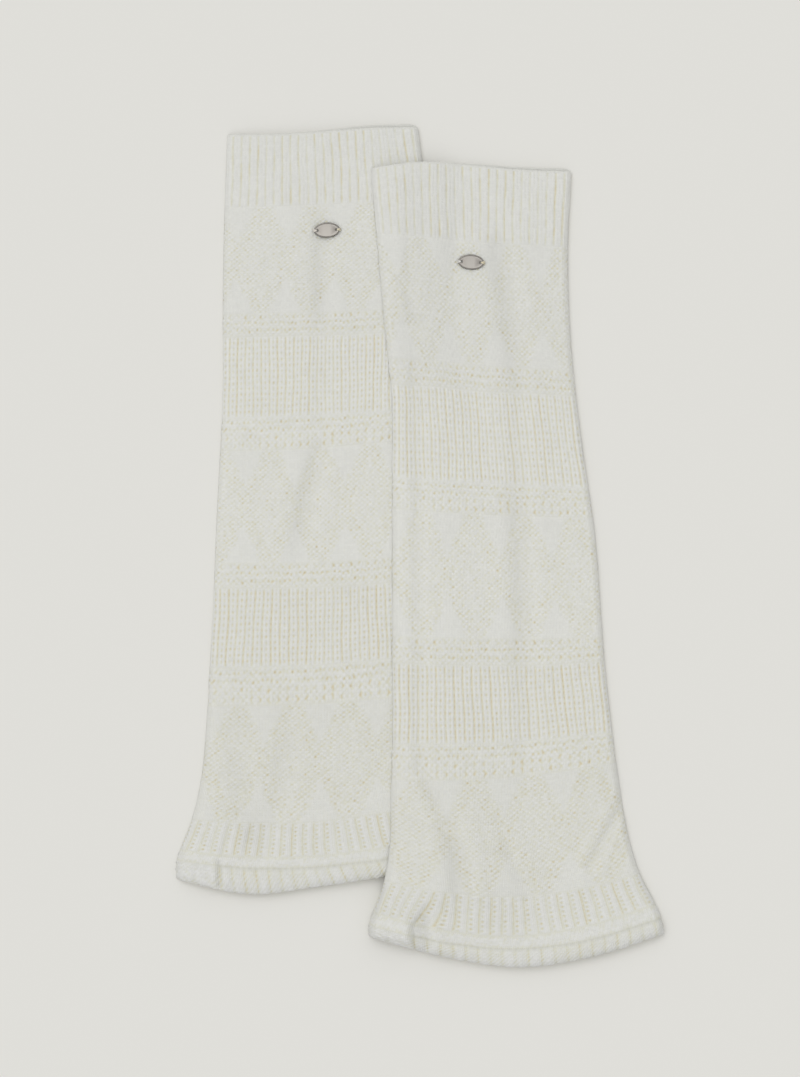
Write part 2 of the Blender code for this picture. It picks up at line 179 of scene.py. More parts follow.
RIGHT_FOLDS = (
    Fold("long trough from beside the tag", 6.0, (
        (41.5, 177, 0.3), (43, 168, 2.5), (46.5, 148, 2.7), (53, 102, 2.0), (54, 80, 1.2), (53.5, 40, 1.2),
        (55, 20, 2.3), (57.5, -50, 2.3), (57.5, -70, 1.4), (57, -130, 0.6),
    )),
    Fold("hollow over the lower tube's side", 10.0, (
        (-1, 214, 0.7), (1, 170, 1.2), (-3, 130, 1.2), (-4, 60, 0.5), (-4, 0, 0),
    )),
    Fold("crease over the lower tube's side", 4.0, (
        (-5, 120, 0), (-3.5, 90, 0.8), (-2, 20, 1.1), (-1.8, -60, 1.1), (-1, -124, 1.0), (10, -144, 0.9),
    )),
    Fold("fold over the lower tube's hem", 6.0, (
        (9, -142, 0.2), (14, -155, 1.4), (20, -172, 2.7), (22, -192, 2.7), (23, -204, 0.8),
    )),
    Fold("trough left of the tag", 4.0, ((21, 190, 0), (18, 165, 0.5), (21, 130, 0.7), (22, 100, 0))),
    Fold("trough by the left side", 3.0, ((-7.5, 192, 0), (-7.5, 170, 0.6), (-6, 125, 0.4))),
    Fold("crease by the left side", 2.8, ((-12, 148.5, 0.6), (0, 125, 0.6))),
    Fold("crease by the right side", 3.2, ((114, -142, 0.6), (110, -152, 1.6), (95, -180, 1.2))),
    Fold("trough in the lower panel", 4.0, ((42, -150, 0), (49, -170, 1.0), (60, -197, 0.5))),
    Fold("pocket in the hem", 4.2, ((2, -206, 1.4), (-0.5, -214, 5.0), (0.5, -224, 4.0))),
    Fold("rolled end of the edging", 4.5, ((-29, -216, -1.8), (-9, -218.5, -1.8))),
)
# The ridges are this share of the trough's depth high and stand this many widths from its middle.
RIDGE_SHARE = 0.25
RIDGE_PLACE = 2
# A fold may press the front's outside this far below a flat tube's front. Its inside stops sooner.
LOWEST_CROWN = -1.0


def smooth(knots, values, at):
    """The smooth curve through the values at the knots, read at these places."""
    slope = np.gradient(values, knots)
    first = np.clip(np.searchsorted(knots, at, "right") - 1, 0, len(knots) - 2)
    step = knots[first + 1] - knots[first]
    t = np.clip((at - knots[first]) / step, 0, 1)
    ends = values[first] * (1 + 2 * t) * (1 - t) ** 2 + values[first + 1] * t**2 * (3 - 2 * t)
    return ends + step * (slope[first] * t * (1 - t) ** 2 - slope[first + 1] * t**2 * (1 - t))


def ease(t):
    """0 up to t = 0 and 1 from t = 1, smooth between."""
    t = np.clip(t, 0, 1)
    return t * t * (3 - 2 * t)


def pulse(phase, width):
    """1 on the whole numbers, fading to 0 this far to either side of them."""
    return ease(1 - np.abs(phase - np.round(phase)) / width)


def uneven(number, seed):
    """A fixed number between -1 and 1 for each whole number, so that no two ribs are quite alike."""
    return 2 * np.modf(np.abs(np.sin(number * 12.9898 + seed * 78.233)) * 43758.5453)[0] - 1


class Tube:
    """One leg warmer laid flat. Across runs from 0 at its left side to 1 at its right side."""

    def __init__(self, name, top_y, courses, folds, diamond_shifts, lies_on=None):
        self.name = name
        self.top_y = top_y
        self.table = np.array(courses)
        self.downs = self.table[:, 0]
        self.thicks = np.array([band.thick for band in BANDS] + [END_THICK])
        self.puffs = np.array([band.puff for band in BANDS] + [END_PUFF])
        self.folds = folds
        panels = [band.name for band in BANDS if band.knit == "diamonds"]
        self.diamond_shifts = dict(zip(panels, diamond_shifts))
        self.lies_on = lies_on

    def sides(self, down):
        return smooth(self.downs, self.table[:, 1], down), smooth(self.downs, self.table[:, 2], down)

    def lift(self, across, down):
        lifts = np.insert(self.table[:, 3:], 2, 0, axis=1)
        shares = np.eye(len(LIFT_PLACES))
        return sum(
            smooth(LIFT_PLACES, shares[k], across) * smooth(self.downs, lifts[:, k], down)
            for k in range(len(LIFT_PLACES))
        )

    def place(self, across, down, inset=0.0):
        """World x and y of a point, on the wall's outside or inset from both sides."""
        left, right = self.sides(down)
        x = left + inset + (right - left - 2 * inset) * across
        return x, self.top_y - down + self.lift(across, down)

    def locate(self, x, y):
        """Across and down of the point at world x and y. Beyond the tube they stop at its edge."""
        down = np.clip(self.top_y - y, 0, self.downs[-1])
        across = np.full_like(down, 0.5)
        for _ in range(LOCATE_ROUNDS):
            left, right = self.sides(down)
            across = np.clip((x - left) / (right - left), 0, 1)
            down = np.clip(self.top_y - y + self.lift(across, down), 0, self.downs[-1])
        return across, down

    def fold_depth(self, x, y):
        """How far the folds lower the front at a place, less than 0 on the ridges beside them."""
        total = 0.0
        for fold in self.folds:
            places = [Place(*place) for place in fold.places]
            nearest, depth = np.inf, 0.0
            for a, b in zip(places, places[1:]):
                run_x, run_y = b.x - a.x, b.y - a.y
                along = np.clip(((x - a.x) * run_x + (y - a.y) * run_y) / (run_x**2 + run_y**2), 0, 1)
                away = np.hypot(x - a.x - along * run_x, y - a.y - along * run_y) / fold.width
                depth = np.where(away < nearest, a.depth + (b.depth - a.depth) * along, depth)
                nearest = np.minimum(away, nearest)
            ridge = RIDGE_SHARE * np.exp(-((nearest - RIDGE_PLACE) ** 2))
            total = total + depth * (np.exp(-(nearest**2)) - ridge)
        return total

    def crown(self, across, down, x, y):
        """How far the front rises over a flat tube's front."""
        puff = smooth(self.downs, self.puffs, down) * (1 - (2 * across - 1) ** 4)
        return np.maximum(puff - self.fold_depth(x, y), LOWEST_CROWN)

    def thickness(self, down):
        return smooth(self.downs, self.thicks, down)

    def underside(self, x, y, reach=DRAPE_REACH):
        """Height of the tube's underside, flat on the surface or draped over the tube that it lies on."""
        if self.lies_on is None:
            return np.zeros_like(x + y)
        lower = self.lies_on
        across, down = lower.locate(x, y)
        beside_x, beside_y = lower.place(across, down)
        beyond = np.hypot(x - beside_x, y - beside_y)
        top = lower.thickness(down) + lower.crown(across, down, beside_x, beside_y)
        near_edging = ease((down - lower.downs[-2] + EDGING_RISE_START) / EDGING_RISE)
        knit = HIGHEST_STITCH + near_edging * (HIGHEST_EDGING - HIGHEST_STITCH)
        return (top + knit + LYING_CLEARANCE) * (1 - ease((beyond - DRAPE_LEDGE) / reach))


# Where the tubes' top edges lie, and the places across them that a diamond of each panel is centred on.
LEFT_TOP = 233.5
RIGHT_TOP = 214.5
LEFT_DIAMONDS = (0.2, 0.02, 0.15)
RIGHT_DIAMONDS = (0.22, 0.15, 0.12)

LEFT = Tube("left", LEFT_TOP, LEFT_COURSES, LEFT_FOLDS, LEFT_DIAMONDS)
RIGHT = Tube("right", RIGHT_TOP, RIGHT_COURSES, RIGHT_FOLDS, RIGHT_DIAMONDS, lies_on=LEFT)

# The columns of points round a tube, from its left side over the front and back under it. Share is how far
# across a column lies and turn is its angle round the side's rounding, a right angle on the flat. The front
# has a column for each third of a wale. The back lies on the floor, so past its rounding it has a few.
Columns = namedtuple("Columns", "share turn front wale")


def lay_out_columns():
    """The columns, from the left side over the front to the right side and back under the tube."""
    rounding = SIDE_COLUMNS / COLUMNS_PER_WALE
    front = np.arange(WALES * COLUMNS_PER_WALE + 1) / COLUMNS_PER_WALE
    side = np.arange(1, SIDE_COLUMNS) / COLUMNS_PER_WALE
    flat_back = np.linspace(rounding, WALES - rounding, BACK_COLUMNS + 1)
    wale = np.concatenate([front, WALES + side, WALES + flat_back, 2 * WALES - side[::-1]])
    from_left = np.minimum(wale, 2 * WALES - wale)
    turn = pi / 2 * np.clip(np.minimum(from_left, WALES - from_left) / rounding, 0, 1)
    share = np.clip((from_left - rounding) / (WALES - 2 * rounding), 0, 1)
    return Columns(share, turn, wale <= WALES, wale)


COLUMNS = lay_out_columns()

# The rows of points down a piece's outside, round its lower edge, up its inside and back to the first. Layer
# is 1 on the outside of the wall and 0 on its inside. Border rows are where the next piece is knitted on.
Rows = namedtuple("Rows", "down layer band course border")


def outer_rows(tube, first, last, per_course):
    """Down, band and course of the rows on the outside, this many to a course."""
    down, number, course = [], [], []
    for k in range(first, last + 1):
        count = BANDS[k].courses * per_course
        steps = np.arange(0 if k == first else 1, count + 1)
        down.append(tube.downs[k] + steps / count * (tube.downs[k + 1] - tube.downs[k]))
        number.append(np.full(len(steps), k))
        course.append(steps / per_course)
    return np.concatenate(down), np.concatenate(number), np.concatenate(course)


def inner_rows(start, end):
    """Rows up the inside, evenly spaced from one distance down to another."""
    count = max(2, int(abs(end - start) / INNER_ROW_SPACING))
    return np.linspace(start, end, count + 1)


def join_rows(border, *stretches):
    """The rows of a piece, from stretches of rows that each give their down, layer, band and course."""
    stretches = [np.broadcast_arrays(*stretch) for stretch in stretches]
    return Rows(*(np.concatenate(values) for values in zip(*stretches)), border)


def knit_rows(tube, first, last, per_course):
    """Rows of a piece whose two edges are knitted on to its neighbours."""
    down, number, course = outer_rows(tube, first, last, per_course)
    inside = inner_rows(down[-1], down[0])
    border = (0, len(down) - 1, len(down), len(down) + len(inside) - 1)
    return join_rows(border, (down, 1, number, course), (inside, 0, last, BANDS[last].courses))


def cuff_rows(tube, per_course):
    """Rows of the cuff, whose upper edge is a rounded rim between the wall's two sides."""
    down, number, course = outer_rows(tube, CUFF_BAND, CUFF_BAND, per_course)
    keep = down > RIM_ROUNDING
    down, number, course = down[keep], number[keep], course[keep]
    inside = inner_rows(down[-1], RIM_ROUNDING)
    turns = np.linspace(-pi / 2, pi / 2, RIM_ROWS + 1)[1:]
    rim = RIM_ROUNDING * (1 - np.cos(turns))
    return join_rows(
        (len(down) - 1, len(down)),
        (down, 1, number, course),
        (inside, 0, CUFF_BAND, BANDS[CUFF_BAND].courses),
        (rim, 0.5 + 0.5 * np.sin(turns), CUFF_BAND, 0),
    )


# Each knit's own function goes in here by name. It says how far its stitches stand over the wall, in strand
# depths, at each place of a band. Widths in it are in wales and courses, and each call to uneven, speckle or
# lumps ends with a seed of its own. At its edges a band fades to the plain level, so that the pieces meet.
KNITS = {}
STRAND_DEPTH = 0.5
PLAIN_LEVEL = 0.5
BORDER_COURSES = 0.8
# How much lower the tube's rounded sides lie than half way up it, as a share of that, left and right.
SIDE_SINKS = (0.95, 0.7)
# The tube thins by this share towards its left side, and its front slopes down this much to its top edge.
SIDE_THINNING = 0.55
SIDE_THINNING_LENGTH = 6.0
TOP_SLOPE = 1.0
TOP_SLOPE_LENGTH = 4.0
# The gap attribute is 0 on the highest strands, a third on the mean surface and 1 deepest between stitches.
# By it the yarn gets a painted highlight on its strands and painted shade deeper down. The mean reaches over
# so many points. A knit standing over the rest of its band counts as nearer the top, and is painted lighter.
MEAN_GAP = 1 / 3
MEAN_REACH = 4
LEVEL_GAIN = 0.4
# The folds get painted shade, by this share for each millimetre of their depth, and so does the crease under
# the welt. The crease's painted shade is dotted, and fades out over so many wales towards the tube's left
# corner.
FOLD_SHADE = 0.022
CREASE_SHADE = 0.12
CREASE_WIDTH = 0.9
CREASE_DOTS = 0.3
CREASE_DOT_PITCH = 1.5
CREASE_FROM_WALE = 9.5
CREASE_FADE = 3
MERGE_DISTANCE = 0.001


def speckle(wale, course, seed):
    """Unevenness between -1 and 1, smooth from each whole wale and course to the next."""
    left, above = np.floor(wale), np.floor(course)
    right_share, below_share = ease(wale - left), ease(course - above)
    corners = [uneven((left + a) * 7.13 + (above + b) * 113.7, seed) for b in (0, 1) for a in (0, 1)]
    upper = corners[0] * (1 - right_share) + corners[1] * right_share
    lower = corners[2] * (1 - right_share) + corners[3] * right_share
    return upper * (1 - below_share) + lower * below_share


def lumps(wale, course, seed):
    """The thick and thin places of the yarn itself."""
    return 0.12 * speckle(2 * wale, 1.5 * course, seed)


def wander(wale, course, seed):
    """How far the columns of stitches drift sideways, in wales."""
    slow = 0.14 * np.sin(0.15 * course + 0.21 * wale + seed)
    quick = 0.08 * np.sin(0.37 * course - 0.3 * wale + 2.1 * seed)
    return slow + quick


def strip(away, width):
    """1 along a line, fading to both sides of it."""
    return np.exp(-((away / width) ** 2))


def cuff_rib(tube, band, wale, course):
    """A deep valley along each sunk wale, and a fine groove between the two raised ones."""
    rib = np.round(wale / WALES_PER_RIB)
    away = wale - rib * WALES_PER_RIB
    depth = 0.7 + 0.15 * uneven(rib, 1) + 0.2 * speckle(rib, course / 3, 2)
    groove = 0.24 + 0.1 * uneven(np.floor(wale / WALES_PER_RIB), 3)
    height = 0.75 - depth * strip(away, 0.46) - groove * strip(np.abs(away) - WALES_PER_RIB / 2, 0.3)
    return height + lumps(wale, course, 4)


KNITS["cuff rib"] = cuff_rib


def stitch_relief(tube, rows):
    """How far the stitches stand out from the wall, at every row and column."""
    wale = COLUMNS.wale[None, :]
    relief = np.zeros((len(rows.down), len(COLUMNS.wale)))
    outside = rows.layer > 0.5
    for k in np.unique(rows.band[outside]):
        here = outside & (rows.band == k)
        band, course = BANDS[k], rows.course[here][:, None]
        height = KNITS[band.knit](tube, band, wale + wander(wale, course, tube.top_y + k), course)
        edge = band.courses - course if k == CUFF_BAND else np.minimum(course, band.courses - course)
        relief[here] = PLAIN_LEVEL + (height - PLAIN_LEVEL) * ease(edge / BORDER_COURSES)
    relief *= ease(2 * rows.layer - 1)[:, None]
    under = np.where(COLUMNS.turn < pi / 2, np.cos(COLUMNS.turn) ** 2, 0)
    return relief * np.where(COLUMNS.front, 1, under)


def shell_points(tube, rows, drop):
    """The points of a piece's plain wall. Drop is how far each row sinks towards the middle of the wall."""
    down = rows.down[:, None]
    layer = rows.layer[:, None]
    left, right = tube.sides(down)
    edge = SIDE_ROUNDING / (right - left) * (1 - np.cos(COLUMNS.turn))
    across = edge + (1 - 2 * edge) * COLUMNS.share
    full = 1 - SIDE_THINNING * np.exp(-across * (right - left) / SIDE_THINNING_LENGTH)
    thick = tube.thickness(down) * full
    wall = (thick - INNER_GAP) / 2
    x, y = tube.place(across, down, inset=wall * (1 - layer))
    crown = tube.crown(across, down, x, y)
    lowered = full * (drop + TOP_SLOPE * np.exp(-down / TOP_SLOPE_LENGTH))
    raised = full * np.maximum(drop, 0)
    round_off = np.sin(COLUMNS.turn)
    outer = np.where(COLUMNS.front, thick / 2 + crown - lowered, raised - thick / 2)
    inner_crown = np.maximum(crown, MIN_INNER_GAP - INNER_GAP)
    inner = np.where(COLUMNS.front, INNER_GAP / 2 + inner_crown, -INNER_GAP / 2)
    under = tube.underside(x, y)
    starts, ends = FRONT_REACH_GROWS
    grown = ease((down - starts) / (ends - starts))
    reach = FRONT_REACH_BY_THE_TAG + grown * (FRONT_REACH_BELOW - FRONT_REACH_BY_THE_TAG)
    spanned = tube.underside(x, y, reach) - under
    sink = np.where(COLUMNS.share < 0.5, *SIDE_SINKS) * np.cos(COLUMNS.turn)
    middle = under + thick / 2 * (1 - sink)
    z = middle + round_off * (layer * outer + (1 - layer) * inner + COLUMNS.front * spanned)
    z = np.maximum(z, under)
    none, whole = PEEK_PLACES
    peek = BACK_PEEK * ease((across - none) / (whole - none)) * (1 - ease(down / PEEK_LENGTH))
    y += peek * np.where(COLUMNS.front, 0, round_off)
    return np.stack([x, y, z], axis=2)


def facing(points):
    """The outward direction at each point of a wall whose rows and columns both close."""
    along = np.roll(points, -1, axis=0) - np.roll(points, 1, axis=0)
    around = np.roll(points, -1, axis=1) - np.roll(points, 1, axis=1)
    out = np.cross(along, around)
    return out / np.maximum(np.linalg.norm(out, axis=2, keepdims=True), 1e-9)


def sunk(relief, rows):
    """The gap attribute, for painted shade between the stitches: how far each place lies under the stitches
    round it and those of its band.
    """
    outside = np.count_nonzero(rows.layer == 1)
    steps = range(-MEAN_REACH, MEAN_REACH + 1)
    row = np.arange(outside)
    mean = sum(relief[np.clip(row + k, 0, outside - 1)] for k in steps) / len(steps)
    mean = sum(np.roll(mean, k, axis=1) for k in steps) / len(steps)
    number = rows.band[:outside]
    gap = np.full_like(relief, MEAN_GAP)
    for k in np.unique(number):
        here = np.flatnonzero(number == k)
        level = mean[here][:, COLUMNS.front].mean() - mean[here]
        depth = BANDS[k].gain * (mean[here] - relief[here]) + LEVEL_GAIN * level
        gap[here] = np.clip(MEAN_GAP + BANDS[k].shade * (1 - MEAN_GAP) + depth, 0, 1)
    return gap


def tone_and_painted_shade(tube, rows, points):
    """The tone attribute: band lightness, with painted shade in the folds and the crease under the welt."""
    tone = np.array([band.tone for band in BANDS])[rows.band][:, None]
    hollow = FOLD_SHADE * np.maximum(tube.fold_depth(points[:, :, 0], points[:, :, 1]), 0)
    crease = CREASE_SHADE * strip(rows.down[:, None] - tube.downs[-2], CREASE_WIDTH) * rows.layer[:, None]
    dots = 1 - CREASE_DOTS * (1 - np.cos(2 * pi * COLUMNS.wale / CREASE_DOT_PITCH))
    dots *= ease((COLUMNS.wale - CREASE_FROM_WALE) / CREASE_FADE)
    return tone * (1 - COLUMNS.front * (hollow + crease * dots))


def add_object(name, data):
    """A new object at the origin, in the scene."""
    added = bpy.data.objects.new(name, data)
    bpy.context.scene.collection.objects.link(added)
    return added


def knit_wall(name, tube, rows, drop=0.0):
    """A closed wall of knitting on these rows and all the columns."""
    points = shell_points(tube, rows, drop)
    tone = tone_and_painted_shade(tube, rows, points)
    relief = stitch_relief(tube, rows)
    points += facing(points) * relief[:, :, None] * STRAND_DEPTH
    points[:, :, 2] = np.maximum(points[:, :, 2], 0)
    row_count, column_count = relief.shape

    # The grid has one row and one column more than the wall. They lie on its first ones and are merged below.
    bm = bmesh.new()
    bmesh.ops.create_grid(bm, x_segments=column_count, y_segments=row_count, size=0.5)
    mesh = bpy.data.meshes.new(name)
    bm.to_mesh(mesh)
    bm.free()
    flat = np.empty(len(mesh.vertices) * 3, np.float32)
    mesh.vertices.foreach_get("co", flat)
    flat = flat.reshape(-1, 3)
    column = np.round((flat[:, 0] + 0.5) * column_count).astype(int)
    row = row_count - np.round((flat[:, 1] + 0.5) * row_count).astype(int)
    at = (row % row_count, column % column_count)
    mesh.vertices.foreach_set("co", (points[at] * MM).astype(np.float32).ravel())

    # The UV map counts wales across and courses down, so that each stitch is one square of it.
    for attribute, values in (("gap", sunk(relief, rows)), ("tone", tone)):
        layer = mesh.attributes.new(attribute, "FLOAT", "POINT")
        layer.data.foreach_set("value", values[at].astype(np.float32))
    corner = np.empty(len(mesh.loops), np.int32)
    mesh.loops.foreach_get("vertex_index", corner)
    wales = np.append(COLUMNS.wale, 2 * WALES)[column[corner]]
    before = np.cumsum([0] + [band.courses for band in BANDS])
    number = before[rows.band] + rows.course
    courses = np.append(number, number[0])[row[corner]]
    stitches = mesh.uv_layers.new(name="stitches")
    stitches.data.foreach_set("uv", np.stack([wales, -courses], axis=1).astype(np.float32).ravel())

    ends = np.empty(len(mesh.edges) * 2, np.int32)
    mesh.edges.foreach_get("vertices", ends)
    edge_rows = (row % row_count)[ends.reshape(-1, 2)]
    sharp = (edge_rows[:, 0] == edge_rows[:, 1]) & np.isin(edge_rows[:, 0], rows.border)
    mesh.shade_smooth()
    hard = mesh.attributes.get("sharp_edge") or mesh.attributes.new("sharp_edge", "BOOLEAN", "EDGE")
    hard.data.foreach_set("value", sharp)

    bm = bmesh.new()
    bm.from_mesh(mesh)
    open_edge = [v for v in bm.verts if v.is_boundary]
    bmesh.ops.remove_doubles(bm, verts=open_edge, dist=MERGE_DISTANCE * MM)
    bm.to_mesh(mesh)
    bm.free()
    return add_object(name, mesh)


def start_material(name):
    """A new material and its node tree, still empty."""
    material = bpy.data.materials.new(name)
    material.use_nodes = True
    material.node_tree.nodes.clear()
    return material, material.node_tree


def add_node(tree, kind, settings=(), inputs=()):
    """A node, its kind named as in "Math". An input is a value, a socket or a node with its first output."""
    node = tree.nodes.new("ShaderNode" + kind)
    for key, value in dict(settings).items():
        setattr(node, key, value)
    for key, value in dict(inputs).items():
        if isinstance(value, bpy.types.Node):
            value = value.outputs[0]
        if isinstance(value, bpy.types.NodeSocket):
            tree.links.new(value, node.inputs[key])
        else:
            node.inputs[key].default_value = value
    return node


def linear(hex_colour):
    """An sRGB hex colour as the linear values that a shader takes."""
    parts = [int(hex_colour[k:k + 2], 16) / 255 for k in (1, 3, 5)]
    return [p / 12.92 if p <= 0.04045 else ((p + 0.055) / 1.055) ** 2.4 for p in parts] + [1.0]


# The yarn's colour by its gap value: a painted highlight of bluish white on the highest strands, its own
# colour on the mean surface, and painted shade, olive, golden and brown, in the gaps.
YARN_COLOUR_AND_SHADE = (
    (0.0, "#E4E4E3"), (MEAN_GAP, "#DEDED8"), (0.52, "#D9D8C8"), (0.68, "#D6CCB0"), (1.0, "#A99C8A"),
)
STITCH_BUMP = 0.25
LEG_LEAN = 1.3
FUZZ_SIZE = 0.5
FUZZ_SHARE = 0.6
# How much lightness varies over the patches of the mottle, and from one stitch to the next.
MOTTLE_SIZE = 14.0
MOTTLE_RANGE = 0.05
STITCH_RANGE = 0.04


def make_yarn():
    """Loosely spun cotton and wool yarn, knitted: matt, with the two legs of each stitch and a light fuzz.

    Light that gets down between the stitches comes back yellower, which the gap attribute tints. Each stitch
    is a little lighter or darker than the next.
    """
    material, tree = start_material("off-white cotton and wool knit")
    stitches = add_node(tree, "UVMap", {"uv_map": "stitches"})
    split = add_node(tree, "SeparateXYZ", {}, {0: stitches})
    place = add_node(tree, "TexCoord").outputs["Object"]

    # Each stitch is a V: its two legs lean apart, and each is a rounded strand of yarn.
    half = add_node(tree, "Math", {"operation": "PINGPONG"}, {0: split.outputs[0], 1: 0.5})
    turn = add_node(tree, "Math", {"operation": "MULTIPLY"}, {0: half, 1: 2 * pi})
    strand = add_node(tree, "Math", {"operation": "SINE"}, {0: turn})
    lean = add_node(tree, "Math", {"operation": "MULTIPLY_ADD"}, {0: half, 1: LEG_LEAN, 2: split.outputs[1]})
    leg = add_node(tree, "Math", {"operation": "PINGPONG"}, {0: lean, 1: 0.5})
    thick = add_node(tree, "Math", {"operation": "ADD"}, {0: leg, 1: 0.5})
    stitch = add_node(tree, "Math", {"operation": "MULTIPLY"}, {0: strand, 1: thick})
    fuzz = add_node(tree, "TexNoise", {}, {"Vector": place, "Scale": 1 / (FUZZ_SIZE * MM), "Detail": 3.0})
    height = add_node(tree, "Math", {"operation": "MULTIPLY_ADD"}, {0: fuzz, 1: FUZZ_SHARE, 2: stitch})
    bump = add_node(tree, "Bump", {}, {"Strength": 0.8, "Distance": STITCH_BUMP * MM, "Height": height})

    # The gap attribute picks the colour: a painted highlight on the strands and painted shade in the gaps.
    gap = add_node(tree, "Attribute", {"attribute_name": "gap"})
    tint = add_node(tree, "ValToRGB", {}, {0: gap.outputs["Fac"]})
    stops = tint.color_ramp.elements
    for number, (at, tone) in enumerate(YARN_COLOUR_AND_SHADE):
        stop = stops[number] if number < 2 else stops.new(at)
        stop.position = at
        stop.color = linear(tone)
    whole = add_node(tree, "VectorMath", {"operation": "FLOOR"}, {0: stitches})
    own = add_node(tree, "TexWhiteNoise", {"noise_dimensions": "2D"}, {"Vector": whole})
    mottle = add_node(tree, "TexNoise", {}, {"Vector": place, "Scale": 1 / (MOTTLE_SIZE * MM), "Detail": 4.0})
    darkest = 1 - (MOTTLE_RANGE + STITCH_RANGE) / 2
    patch = add_node(tree, "Math", {"operation": "MULTIPLY_ADD"}, {0: mottle, 1: MOTTLE_RANGE, 2: darkest})
    even = add_node(tree, "Math", {"operation": "MULTIPLY_ADD"}, {0: own, 1: STITCH_RANGE, 2: patch})
    # The tone attribute darkens it further: painted shade in the folds, the crease and the hem bands.
    tone = add_node(tree, "Attribute", {"attribute_name": "tone"})
    value = add_node(tree, "Math", {"operation": "MULTIPLY"}, {0: even, 1: tone.outputs["Fac"]})
    shade = add_node(tree, "HueSaturation", {}, {"Value": value, "Color": tint})
    shader = add_node(
        tree, "BsdfPrincipled", {},
        {
            "Base Color": shade,
            "Roughness": 0.92,
            "IOR": 1.5,
            "Specular IOR Level": 0.25,
            "Sheen Weight": 0.25,
            "Sheen Roughness": 0.5,
            "Normal": bump,
        },
    )
    add_node(tree, "OutputMaterial", {}, {"Surface": shader})
    return material


YARN = make_yarn()
CUT_SAMPLES = 60


def cut_of(tube, start, end):
    """The flat cut of a stretch of the tube, all round: its width and length and its area, in metres."""
    downs = np.linspace(start, end, CUT_SAMPLES)
    left, right = tube.sides(downs)
    around = 2 * (right - left) * MM
    length = (end - start) * MM
    return (float(around.max()), length), float(around.mean() * length)


def finish_knit(piece, tube, node, first, last):
    piece.data.materials.append(YARN)
    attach(piece, "root")
    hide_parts(node)
    flat, area = cut_of(tube, tube.downs[first], tube.downs[last + 1])


CUFF_ROWS_PER_COURSE = 2

for tube in (LEFT, RIGHT):
    rows = cuff_rows(tube, CUFF_ROWS_PER_COURSE)
    cuff = knit_wall(f"{tube.name}_cuff_rib", tube, rows)
    finish_knit(cuff, tube, f"{tube.name}_cuff", CUFF_BAND, CUFF_BAND)

# Legs
# The tube under the cuff, knitted in one with it: three panels of plain knit with a textured lattice of
# diamonds, two bands of open chain rib, and rows of eyelets between. It is as wide as the calf is round.

ROWS_PER_COURSE = 3
DIAMONDS = 4
LATTICE_HALF_WIDTH = 0.3
LATTICE_FADE = 0.12
LATTICE_WAVER = 0.06
LATTICE_SINK = 0.07
HEART_SIZE = 0.3
INSIDE_STRENGTH = 0.7
PLAIN_RISE = 0.1
# A row of small holes: its course, the wale of its first hole, how many wales apart the holes are, and how
# many courses tall.
EyeletRow = namedtuple("EyeletRow", "course wale pitch tall")
DOTTED_ROWS = {
    "dots under a panel": (
        EyeletRow(1.3, 0, 3, 1.0), EyeletRow(3.8, 0.75, 1.5, 0.5), EyeletRow(6.6, 0, 1.5, 0.7),
    ),
    "dots over a panel": (
        EyeletRow(1.6, 0, 1.5, 0.5), EyeletRow(4.0, 0.75, 1.5, 0.6),
        EyeletRow(6.6, 0, 3, 1.0), EyeletRow(9.3, 0, 3, 1.1),
    ),
}
# A panel's faint eyelets: courses from row to row, and wales from hole to hole.
PANEL_ROW_SPACING = 10 / 3
PANEL_PITCH = 3
PANEL_EYELET_STRENGTH = 0.5


def plain_knit(wale, course):
    """Columns of plain stitches with a fine groove between wales."""
    return 0.54 - 0.08 * pulse(wale, 0.35) + 0.06 * speckle(wale, course, 5)


def moss(wale, course):
    """Knit and purl stitches by turns, like a draughts board of bumps and dips."""
    turn = np.where((np.floor(wale) + np.floor(course)) % 2 == 0, 1.0, -1.0)
    bump = np.sin(pi * (wale % 1)) * np.sin(pi * (course % 1))
    rough = 0.32 + 0.3 * uneven(np.floor(wale) * 7 + np.floor(course) * 131, 6)
    return 0.5 + turn * bump * rough + 0.2 * speckle(1.7 * wale, 1.3 * course, 7)


def eyelets(wale, course, rows):
    """Small holes with a raised rim, along these rows."""
    total = 0.0
    for row in rows:
        number = np.round((wale - row.wale) / row.pitch)
        sideways = wale - row.wale - number * row.pitch - 0.2 * uneven(number + 5 * row.course, 8)
        away = course - row.course - 0.4 * uneven(number + row.course, 9)
        hole = strip(sideways, 0.42) * strip(away, row.tall)
        rim = strip(np.hypot(sideways, away / (row.tall + 0.5)) - 1, 0.4)
        total = total + 0.14 * rim - (0.42 + 0.32 * uneven(number + 3 * row.course, 10)) * hole
    return total


def dots(tube, band, wale, course):
    """Rows of eyelets on a calm ground of moss, above or below a panel."""
    return 0.1 + 0.8 * moss(wale, course) + eyelets(wale, course, DOTTED_ROWS[band.knit])


def open_rib(tube, band, wale, course):
    """Ribs like chains: two strands part round a hole every two courses, with rungs across the valleys."""
    rib = np.floor(wale / WALES_PER_RIB)
    middle = wale - rib * WALES_PER_RIB - WALES_PER_RIB / 2
    link = course / 2 + 0.1 * uneven(rib, 11) + 0.1 * speckle(rib, course / 5, 12)
    parted = 0.5 + 0.5 * np.cos(2 * pi * link)
    strand = strip(np.abs(middle) - 0.62 - 0.2 * parted, 0.36)
    hole = strip(middle, 0.4) * parted * (0.8 + 0.2 * speckle(rib, course / 2, 13))
    valley = strip(np.abs(middle) - WALES_PER_RIB / 2, 0.42)
    depth = 0.72 + 0.12 * uneven(np.round(wale / WALES_PER_RIB), 14) - 0.3 * (1 - parted)
    return 0.42 + 0.4 * strand - 0.75 * hole - depth * valley + lumps(wale, course, 15)


